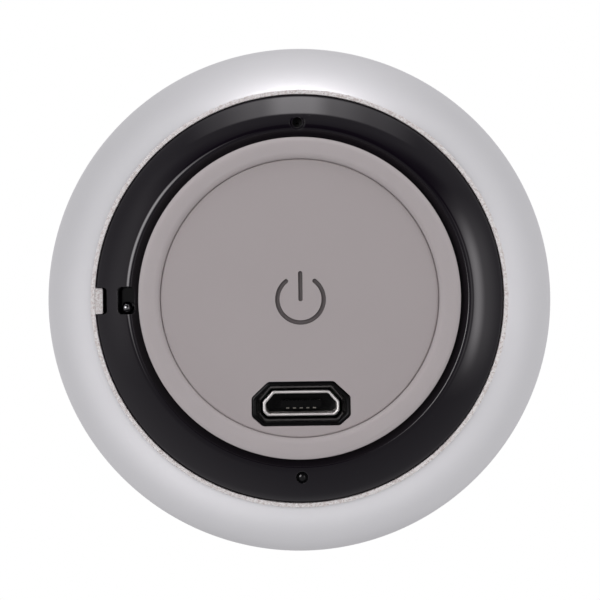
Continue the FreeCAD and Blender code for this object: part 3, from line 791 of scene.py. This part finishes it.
def foot():
    low, high = extent("foot_ring")
    inner = extent("power_button")[1].x + KEY_SLIT
    bm = bmesh.new()
    ring = outline(bm, (inner, FOOT_STEP_Z), (inner, low.z), (high.x, low.z), (high.x, high.z),
                   (FOOT_STEP_R, high.z), (FOOT_STEP_R, FOOT_STEP_Z))
    bm.faces.new(ring)
    round_corners(bm, 0.62, (inner, low.z), (high.x, low.z), segments=8)
    turn_about_axis(bm, 192)
    return to_piece(bm, "silicone_foot", "body", "grey_silicone", "foot_ring")


foot()

# %% [markdown]
# ## The power key
# The key is a flat silicone disc with a softened rim. Two things are cut out of it: the window for the
# port, and the power sign. A face could be inset for each, but the sign's ends are round and its floor
# should be too. So the sign is carved with round-nosed cutters, as an engraver would, through Boolean
# modifiers: one cutter follows the broken circle and one follows the bar.

# %% Outline of the port
PORT_Y = 10.2
BEZEL_CUTS = ((1.6, 1.5), (1.06, 0.93))
SOCKET_CUTS = ((0.96, 1.08), (0.45, 0.45))
EIGHTH_TURN = math.radians(22.5)


def eight_sided(bm, size, cuts, margin, z, corner):
    """A flat eight-sided face round the port, its corners rounded and its narrow side towards the middle."""
    half_x, half_y = size[0] / 2 + margin, size[1] / 2 + margin
    ease = margin * math.tan(EIGHTH_TURN)
    known = set(bm.faces)
    quarter = []
    for (cut_x, cut_y), side in zip(cuts, (-1, 1)):
        quarter.append([(half_x - cut_x - ease, side * half_y), (half_x, side * (half_y - cut_y - ease))])
    right = quarter[0] + quarter[1][::-1]
    points = right + [(-x, y) for x, y in reversed(right)]
    verts = [bm.verts.new((x, PORT_Y + y, z)) for x, y in points]
    bm.faces.new(verts)
    bmesh.ops.bevel(bm, geom=verts, offset=corner * math.tan(EIGHTH_TURN), offset_type="OFFSET", segments=4,
                    profile=0.5, affect="VERTICES", material=-1)
    return next(f for f in bm.faces if f not in known)


# %% Cutters
SIGN_R = 2.24              # middle of the sign's stroke
STROKE_R = 0.22            # half of its width, and the radius of the round-nosed cutter
SIGN_DEPTH = 0.28
SIGN_GAP = math.radians(38)
SIGN_BAR = (-2.52, -0.02)
SIGN_MIDDLE = (0.08, 0.12)
BALL_SIDES = 20


def ball(bm, y):
    """A ball whose poles lie along Y. No ring of it lies level with the face that it cuts."""
    half_side = Matrix.Rotation(math.pi / BALL_SIDES, 4, "Y")
    turned = Matrix.Translation((0, y, 0)) @ half_side @ Matrix.Rotation(math.pi / 2, 4, "X")
    made = bmesh.ops.create_uvsphere(bm, u_segments=BALL_SIDES, v_segments=10, radius=STROKE_R, matrix=turned)
    return made["verts"]


def bar_cutter():
    """A ball whose two halves are pulled apart."""
    bm = bmesh.new()
    start, end = SIGN_BAR
    far = [v for v in ball(bm, start) if v.co.y > start + 1e-5]
    bmesh.ops.translate(bm, vec=(0, end - start, 0), verts=far)
    return bm


def arc_cutter():
    """A half ball, its rim spun round the broken circle, and a second half ball that closes the other end."""
    bm = bmesh.new()
    sweep = math.tau - 2 * SIGN_GAP
    bmesh.ops.delete(bm, geom=[v for v in ball(bm, 0) if v.co.y > 1e-5], context="VERTS")
    bmesh.ops.translate(bm, vec=(SIGN_R, 0, 0), verts=bm.verts)
    start = bm.verts[:] + bm.edges[:] + bm.faces[:]
    rim = [e for e in bm.edges if e.is_boundary]
    copy = bmesh.ops.duplicate(bm, geom=start)["geom"]
    end = [v for v in copy if isinstance(v, bmesh.types.BMVert)]
    bmesh.ops.scale(bm, vec=(1, -1, 1), verts=end)
    bmesh.ops.rotate(bm, cent=(0, 0, 0), matrix=Matrix.Rotation(sweep, 3, "Z"), verts=end)
    rim += list({v for e in rim for v in e.verts})
    bmesh.ops.spin(bm, geom=rim, cent=(0, 0, 0), axis=(0, 0, 1), angle=sweep, steps=96)
    gap_to_top = Matrix.Rotation(SIGN_GAP - math.pi / 2, 3, "Z")
    bmesh.ops.rotate(bm, cent=(0, 0, 0), matrix=gap_to_top, verts=bm.verts)
    bmesh.ops.remove_doubles(bm, verts=bm.verts, dist=1e-4)
    return bm


def window_cutter(size):
    bm = bmesh.new()
    face = eight_sided(bm, size, BEZEL_CUTS, KEY_SLIT, -1.0, 0.5)
    grown = bmesh.ops.extrude_face_region(bm, geom=[face])["geom"]
    bmesh.ops.translate(bm, vec=(0, 0, 4), verts=[v for v in grown if isinstance(v, bmesh.types.BMVert)])
    return bm


# %% Power key
KEY_BACK_R = 12.6
KEY_STEP_Z = 1.0


def power_key():
    low, high = extent("power_button")
    bm = bmesh.new()
    ring = outline(bm, (0, low.z), (high.x, low.z), (high.x, KEY_STEP_Z), (KEY_BACK_R, KEY_STEP_Z),
                   (KEY_BACK_R, high.z), (0, high.z))
    bm.faces.new(ring)
    round_corners(bm, 0.22, (high.x, low.z), segments=6)
    turn_about_axis(bm, 192)
    bmesh.ops.dissolve_limit(bm, angle_limit=math.radians(0.05), verts=bm.verts, edges=bm.edges)
    cutters = [arc_cutter(), bar_cutter()]
    for cutter in cutters:
        bmesh.ops.scale(cutter, vec=(1, 1, SIGN_DEPTH / STROKE_R), verts=cutter.verts)
        bmesh.ops.translate(cutter, vec=(*SIGN_MIDDLE, low.z), verts=cutter.verts)
    cutters.append(window_cutter(span("port_bezel")))
    carved = combine(bm, *(("DIFFERENCE", cutter) for cutter in cutters))
    return to_piece(carved, "power_key", "power_key", "grey_silicone", "power_button")


power_key()

# %% [markdown]
# ## The port
# The port is a black sleeve with a funnel that guides the plug, and inside it the folded steel shell of the
# socket. Both are eight-sided with rounded corners, and both are lofts: a stack of outlines of the same
# kind, each with its own margin and height, bridged one to the next. The close pairs at the top of a wall
# round its lip over.


# %% Lofts
SOCKET_PLAY = 0.22         # room round the socket's shell, inside the sleeve
LOFT_STEP = 0.01           # the least height between two outlines that are bridged

# The lip of the socket's shell, rolled over from outside to inside, as margins and rises.
SOCKET_LIP = (
    (0.0, 0.12), (-0.035, 0.04), (-0.10, 0.007), (-0.15, 0.0),
    (-0.20, 0.007), (-0.265, 0.04), (-0.30, 0.12),
)
# The sleeve's mouth, rounded over into the funnel.
SLEEVE_LIP = (
    (0.0, 0.16), (-0.05, 0.05), (-0.14, 0.005), (-0.20, 0.0), (-0.27, 0.01), (-0.36, 0.07),
)
THROAT_RISE = 0.77         # height of the funnel's narrow end over its mouth


def loft(bm, steps, corner):
    """Bridges outlines in turn, and the last back to the first. A step is size, cuts, margin and height."""
    loops = []
    for size, cuts, margin, z in steps:
        face = eight_sided(bm, size, cuts, margin, z, corner)
        loops.append(list(face.edges))
        bmesh.ops.delete(bm, geom=[face], context="FACES_ONLY")
    for first, second in zip(loops, loops[1:] + loops[:1]):
        bmesh.ops.bridge_loops(bm, edges=first + second)
    bmesh.ops.recalc_face_normals(bm, faces=bm.faces)


def port_sleeve():
    low, high = extent("port_bezel")
    outer = (span("port_bezel"), BEZEL_CUTS)
    throat = (span("usb_shell"), SOCKET_CUTS, SOCKET_PLAY)
    steps = [(*outer, 0.0, high.z)]
    steps += [(*outer, margin, low.z + rise) for margin, rise in SLEEVE_LIP]
    steps += [(*throat, low.z + THROAT_RISE), (*throat, high.z - LOFT_STEP)]
    bm = bmesh.new()
    loft(bm, steps, 0.42)
    return to_piece(bm, "port_sleeve", "body", "black_plastic", "port_bezel")


def socket_shell():
    low, high = extent("usb_shell")
    outer = (span("usb_shell"), SOCKET_CUTS)
    steps = [(*outer, 0.0, high.z)]
    steps += [(*outer, margin, low.z + rise) for margin, rise in SOCKET_LIP]
    steps += [(*outer, SOCKET_LIP[-1][0], high.z - LOFT_STEP)]
    bm = bmesh.new()
    loft(bm, steps, 0.3)
    return to_piece(bm, "socket_shell", "body", "port_steel", "usb_shell")


port_sleeve()
socket_shell()

# %% [markdown]
# ## The base cover
# The black base is one moulding. Its visible ring is turned: a tight roll beside the foot, and from there a
# long gentle slope out to the metal. A mirror-smooth skin shows every facet, so the roll and the slope are
# true arcs that meet at the same angle, and they are spun in many steps. The rest of the moulding is plain:
# bosses for the screws and a block behind the strap bar are added to it, and the holes are cut out of it,
# each where its part sits.

# %% Base cover
CREST_R = 16.54            # where the roll comes lowest
CREST_ROUND = 1.0
GROOVE_ROUND = 0.2         # tighter rounding on the groove side of the roll
RING_SLOPES = (-50.0, -6.0, 24.0, 38.0)   # of the skin, in degrees: groove, start and end of the roll, edge
RING_EDGE_R = 19.86
RING_EDGE = (20.0, 3.11)   # outer corner of the ring
POST_HOLE_R = 1.9          # hole in the floor for the key's post
LEDGE_R = 13.1             # inside this the floor is set back for the key
LEDGE_Z = 2.3              # ledge that the foot is bonded to
GROOVE_CORNER = (15.72, 1.93)
SPIGOT_R = 19.42           # the ring's spigot inside the drum's lip
SPIGOT_TOP = 4.7
SKIRT_R = (19.1, 18.2)     # outside and inside of the skirt
SKIRT_ROOT_Z = 3.4
BACK_R = (17.3, 16.6)      # flat back of the ring, outside and inside
BACK_Z = 2.6
FLOOR_Z = (2.7, 3.9)
SCREW_R = 9.5
SCREW_TURNS = (30, 150, 270)
BOSS = (2.6, 3.5, 4.5)     # radius, start and end
SCREW_HEAD = (1.5, 2.0, 3.55)
SCREW_SHANK = (0.9, 3.0, 5.0)
MIC_Y = -17.1
LED_Y = 17.4
STRAP_HOLE_X = (-17.705, -16.035)
STRAP_HALF = 1.35          # half the length of the strap hole
NOTCH_HALF = 1.3           # and of the notch at the edge


def on_slope(centre, radius, degrees):
    """The point of a circle in the section at which a skin that is seen from below has a given slope."""
    turn = math.radians(degrees)
    return centre[0] + radius * math.sin(turn), centre[1] - radius * math.cos(turn)


def cover_blank():
    """The turned moulding, before anything is added to it or cut out of it."""
    low, high = extent("base_cover")
    groove, tight, past, edge = RING_SLOPES
    past_sine, edge_sine = math.sin(math.radians(past)), math.sin(math.radians(edge))
    slope_r = (RING_EDGE_R - CREST_R - CREST_ROUND * past_sine) / (edge_sine - past_sine)
    crest = (CREST_R, low.z + CREST_ROUND)
    tight_centre = on_slope(crest, CREST_ROUND - GROOVE_ROUND, tight)
    slope_centre = on_slope(crest, CREST_ROUND - slope_r, past)
    bm = bmesh.new()
    ring = outline(
        bm,
        (POST_HOLE_R, FLOOR_Z[0]),
        (LEDGE_R, FLOOR_Z[0]),
        (LEDGE_R, LEDGE_Z),
        (GROOVE_CORNER[0], LEDGE_Z),
        GROOVE_CORNER,
        on_slope(tight_centre, GROOVE_ROUND, groove),
        (*tight_centre, tight - groove, 10),
        (*crest, past - tight, 24),
        (*slope_centre, edge - past, 20),
        RING_EDGE,
        (RING_EDGE[0], LIP_Z[0]),
        (SPIGOT_R, LIP_Z[0]),
        (SPIGOT_R, SPIGOT_TOP),
        (SKIRT_R[0], SPIGOT_TOP),
        (SKIRT_R[0], high.z - 0.2),
        (SKIRT_R[1], high.z - 0.2),
        (SKIRT_R[1], SKIRT_ROOT_Z),
        (BACK_R[0], BACK_Z),
        (BACK_R[1], BACK_Z),
        (BACK_R[1], FLOOR_Z[1]),
        (POST_HOLE_R, FLOOR_Z[1]),
    )
    bm.faces.new(ring)
    round_corners(bm, 0.04, RING_EDGE, GROOVE_CORNER)
    turn_about_axis(bm, 256)
    return bm


def around_screws():
    for turn in SCREW_TURNS:
        yield SCREW_R * math.cos(math.radians(turn)), SCREW_R * math.sin(math.radians(turn))


def base_cover():
    high = extent("base_cover")[1]
    added, wide, narrow, deep = (bmesh.new() for _ in range(4))
    add_block(added, (-18.95, -15.5), (-2.2, 2.2), (2.5, high.z))
    add_block(wide, STRAP_HOLE_X, (-STRAP_HALF, STRAP_HALF), (0.5, 3.2), corner=0.45)
    add_block(wide, (-20.9, -18.8), (-NOTCH_HALF, NOTCH_HALF), (1.5, LIP_Z[0]), corner=0.35)
    add_block(narrow, (-19.6, STRAP_HOLE_X[1]), (-NOTCH_HALF, NOTCH_HALF), (3.1, SPIGOT_TOP))
    pin_low, pin_high = extent("strap_pin")
    middle = (pin_low + pin_high) / 2
    add_rod(deep, (pin_high.x - pin_low.x) / 2, 4.6, pin_high.z, middle.x, middle.y)
    for x, y in around_screws():
        add_rod(added, *BOSS, x, y)
        add_rod(wide, *SCREW_HEAD, x, y)
        add_rod(narrow, *SCREW_SHANK, x, y)
    for y, hole, back in ((MIC_Y, 0.5, 1.1), (LED_Y, 0.6, 0.85)):
        add_rod(wide, hole, 0.5, 3.0, 0, y)
        add_rod(deep, back, BACK_Z, 7.0, 0, y)
    add_rod(narrow, 0.76, 0.5, 1.52, 0, MIC_Y)
    window = eight_sided(deep, span("port_bezel"), BEZEL_CUTS, 0.0, 2.0, 0.42)
    grown = bmesh.ops.extrude_face_region(deep, geom=[window])["geom"]
    bmesh.ops.translate(deep, vec=(0, 0, 3), verts=[v for v in grown if isinstance(v, bmesh.types.BMVert)])
    cuts = (("DIFFERENCE", tool) for tool in (wide, narrow, deep))
    cover = combine(cover_blank(), ("UNION", added), *cuts)
    return to_piece(cover, "base_ring", "body", "gloss_black", "base_cover")


base_cover()

# %% [markdown]
# ## The strap peg and the cloth
# The peg that a wrist strap is looped over is turned steel with a domed end. Behind the grille a disc of
# open cloth keeps dust out of the driver. It is glued all round its rim and drawn tight, so it has no
# folds, but between the glue lines it stands off the metal by a hair.


# %% Strap peg
def strap_peg():
    low, high = extent("strap_pin")
    radius = (high.x - low.x) / 2
    dome = 0.5
    ball_r = (radius ** 2 + dome ** 2) / (2 * dome)
    opening = math.degrees(math.asin(radius / ball_r))
    bm = bmesh.new()
    ring = outline(bm, (0, low.z), (0, low.z + ball_r, opening, 12), (radius, high.z), (0, high.z))
    bm.faces.new(ring)
    turn_about_axis(bm, 48)
    bmesh.ops.translate(bm, vec=((low.x + high.x) / 2, (low.y + high.y) / 2, 0), verts=bm.verts)
    return to_piece(bm, "strap_peg", "body", "black_steel", "strap_pin")


strap_peg()


# %% Grille cloth
def grille_backing():
    low, high = extent("grille_cloth")
    radius, sag = high.x, 0.05
    bm = bmesh.new()
    ring = outline(bm, (0, low.z), (radius, low.z), (radius, high.z), (radius * 0.92, high.z),
                   (radius * 0.6, high.z - sag), (0, high.z - sag))
    bm.faces.new(ring)
    turn_about_axis(bm, 96)
    cloth = to_piece(bm, "grille_backing", "body", "grille_cloth", "grille_cloth")
    return cloth


grille_backing()
